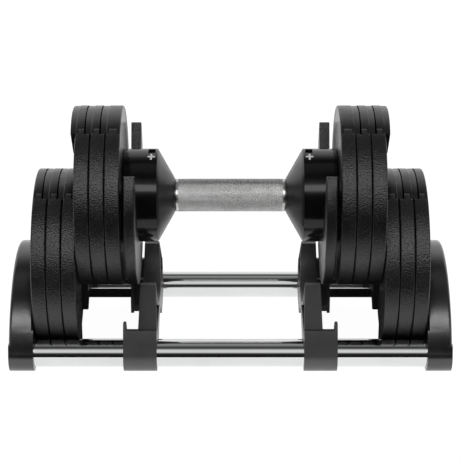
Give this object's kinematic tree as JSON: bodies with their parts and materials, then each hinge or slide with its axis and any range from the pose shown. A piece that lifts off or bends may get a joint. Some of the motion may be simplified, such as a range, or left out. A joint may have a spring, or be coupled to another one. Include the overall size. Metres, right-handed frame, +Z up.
{
  "type": "adjustable dumbbell with cradle",
  "caption": "Adjustable dumbbell with a twist-to-select grip, lifted out of its cradle with part of its plates; the rest stay docked between half-round ends on two chrome rails.",
  "frame": {"origin": "centre of the footprint, on the floor under the cradle", "axes": "+X along the handle to the right, +Y away from the user, +Z up"},
  "size_m": [0.439, 0.191, 0.2492],
  "materials": {
    "chrome_rail": "polished",
    "grip_steel": "knurled",
    "inner_steel": "machined",
    "plate_steel": "textured black powder coat",
    "cradle_plastic": "moulded, fine texture",
    "core_plastic": "moulded",
    "hub_plastic": "satin black",
    "dial_plastic": "moulded",
    "bearing_plastic": "moulded",
    "screw_steel": "black oxide",
    "foot_rubber": "matte"
  },
  "bodies": {
    "cradle": {"front_rail": "chrome_rail", "rear_rail": "chrome_rail", "left_end_support": "cradle_plastic", "right_end_support": "cradle_plastic", "left_bracket": "cradle_plastic", "right_bracket": "cradle_plastic", "rail_screws": "screw_steel", "bracket_screws": "screw_steel", "rubber_feet": "foot_rubber"},
    "left_plate_5": {"left_plate_5_disc": "plate_steel", "left_plate_5_core": "core_plastic"},
    "left_plate_6": {"left_plate_6_disc": "plate_steel", "left_plate_6_core": "core_plastic"},
    "left_plate_7": {"left_plate_7_disc": "plate_steel", "left_plate_7_core": "core_plastic"},
    "right_plate_5": {"right_plate_5_disc": "plate_steel", "right_plate_5_core": "core_plastic"},
    "right_plate_6": {"right_plate_6_disc": "plate_steel", "right_plate_6_core": "core_plastic"},
    "right_plate_7": {"right_plate_7_disc": "plate_steel", "right_plate_7_core": "core_plastic"},
    "dumbbell": {"left_plate_2_disc": "plate_steel", "left_plate_2_core": "core_plastic", "left_plate_3_disc": "plate_steel", "left_plate_3_core": "core_plastic", "left_plate_4_disc": "plate_steel", "left_plate_4_core": "core_plastic", "left_thin_plate": "plate_steel", "left_hub_housing": "hub_plastic", "left_cone": "hub_plastic", "left_end_plate": "hub_plastic", "right_plate_2_disc": "plate_steel", "right_plate_2_core": "core_plastic", "right_plate_3_disc": "plate_steel", "right_plate_3_core": "core_plastic", "right_plate_4_disc": "plate_steel", "right_plate_4_core": "core_plastic", "right_thin_plate": "plate_steel", "right_hub_housing": "hub_plastic", "right_cone": "hub_plastic", "right_end_plate": "hub_plastic", "hub_screws": "screw_steel", "idler_pins": "inner_steel", "rod_bushings": "bearing_plastic", "grip_bushings": "bearing_plastic"},
    "grip": {"grip_sleeve": "grip_steel", "cam_tube": "inner_steel"},
    "left_rod": {"left_selector_rod": "inner_steel", "left_follower_pin": "inner_steel"},
    "left_dial": {"left_dial_ring": "dial_plastic"},
    "left_idler": {"left_idler_gear": "bearing_plastic"},
    "left_lock": {"left_lock_pin": "inner_steel", "left_lock_spring": "inner_steel"},
    "right_rod": {"right_selector_rod": "inner_steel", "right_follower_pin": "inner_steel"},
    "right_dial": {"right_dial_ring": "dial_plastic"},
    "right_idler": {"right_idler_gear": "bearing_plastic"},
    "right_lock": {"right_lock_pin": "inner_steel", "right_lock_spring": "inner_steel"}
  },
  "joints": [
    {"name": "dumbbell_lift", "type": "slide", "parent": "cradle", "child": "dumbbell", "axis": [0, 0, 1], "range_m": [-0.0682, 0.09]},
    {"name": "left_plate_5_lift", "type": "slide", "parent": "cradle", "child": "left_plate_5", "axis": [0, 0, 1], "range_m": [0, 0.12]},
    {"name": "left_plate_6_lift", "type": "slide", "parent": "cradle", "child": "left_plate_6", "axis": [0, 0, 1], "range_m": [0, 0.12]},
    {"name": "left_plate_7_lift", "type": "slide", "parent": "cradle", "child": "left_plate_7", "axis": [0, 0, 1], "range_m": [0, 0.12]},
    {"name": "right_plate_5_lift", "type": "slide", "parent": "cradle", "child": "right_plate_5", "axis": [0, 0, 1], "range_m": [0, 0.12]},
    {"name": "right_plate_6_lift", "type": "slide", "parent": "cradle", "child": "right_plate_6", "axis": [0, 0, 1], "range_m": [0, 0.12]},
    {"name": "right_plate_7_lift", "type": "slide", "parent": "cradle", "child": "right_plate_7", "axis": [0, 0, 1], "range_m": [0, 0.12]},
    {"name": "grip_twist", "type": "hinge", "parent": "dumbbell", "child": "grip", "pos_m": [0, 0, 0.1592], "axis": [1, 0, 0], "range_deg": [-270, 0]},
    {"name": "left_rod_slide", "type": "slide", "parent": "dumbbell", "child": "left_rod", "axis": [-1, 0, 0], "range_m": [-0.0442, 0]},
    {"name": "left_dial_turn", "type": "hinge", "parent": "dumbbell", "child": "left_dial", "pos_m": [-0.0785, 0, 0.1592], "axis": [1, 0, 0], "range_deg": [0, 108.1]},
    {"name": "left_idler_turn", "type": "hinge", "parent": "dumbbell", "child": "left_idler", "pos_m": [-0.079, 0, 0.18545], "axis": [1, 0, 0], "range_deg": [0, 360.1]},
    {"name": "left_lock_press", "type": "slide", "parent": "dumbbell", "child": "left_lock", "axis": [0, 0, 1], "range_m": [0, 0.0035], "stiffness_N_per_m": 800},
    {"name": "right_rod_slide", "type": "slide", "parent": "dumbbell", "child": "right_rod", "axis": [1, 0, 0], "range_m": [-0.0442, 0]},
    {"name": "right_dial_turn", "type": "hinge", "parent": "dumbbell", "child": "right_dial", "pos_m": [0.0785, 0, 0.1592], "axis": [1, 0, 0], "range_deg": [0, 108.1]},
    {"name": "right_idler_turn", "type": "hinge", "parent": "dumbbell", "child": "right_idler", "pos_m": [0.079, 0, 0.18545], "axis": [1, 0, 0], "range_deg": [0, 360.1]},
    {"name": "right_lock_press", "type": "slide", "parent": "dumbbell", "child": "right_lock", "axis": [0, 0, 1], "range_m": [0, 0.0035], "stiffness_N_per_m": 800}
  ],
  "couplings": [
    {"joint": "left_rod_slide", "follows": "grip_twist", "m_per_rad": 0.0093583},
    {"joint": "left_dial_turn", "follows": "grip_twist", "ratio": -0.4},
    {"joint": "left_idler_turn", "follows": "grip_twist", "ratio": -1.3333},
    {"joint": "right_rod_slide", "follows": "grip_twist", "m_per_rad": 0.0093583},
    {"joint": "right_dial_turn", "follows": "grip_twist", "ratio": -0.4},
    {"joint": "right_idler_turn", "follows": "grip_twist", "ratio": -1.3333}
  ]
}
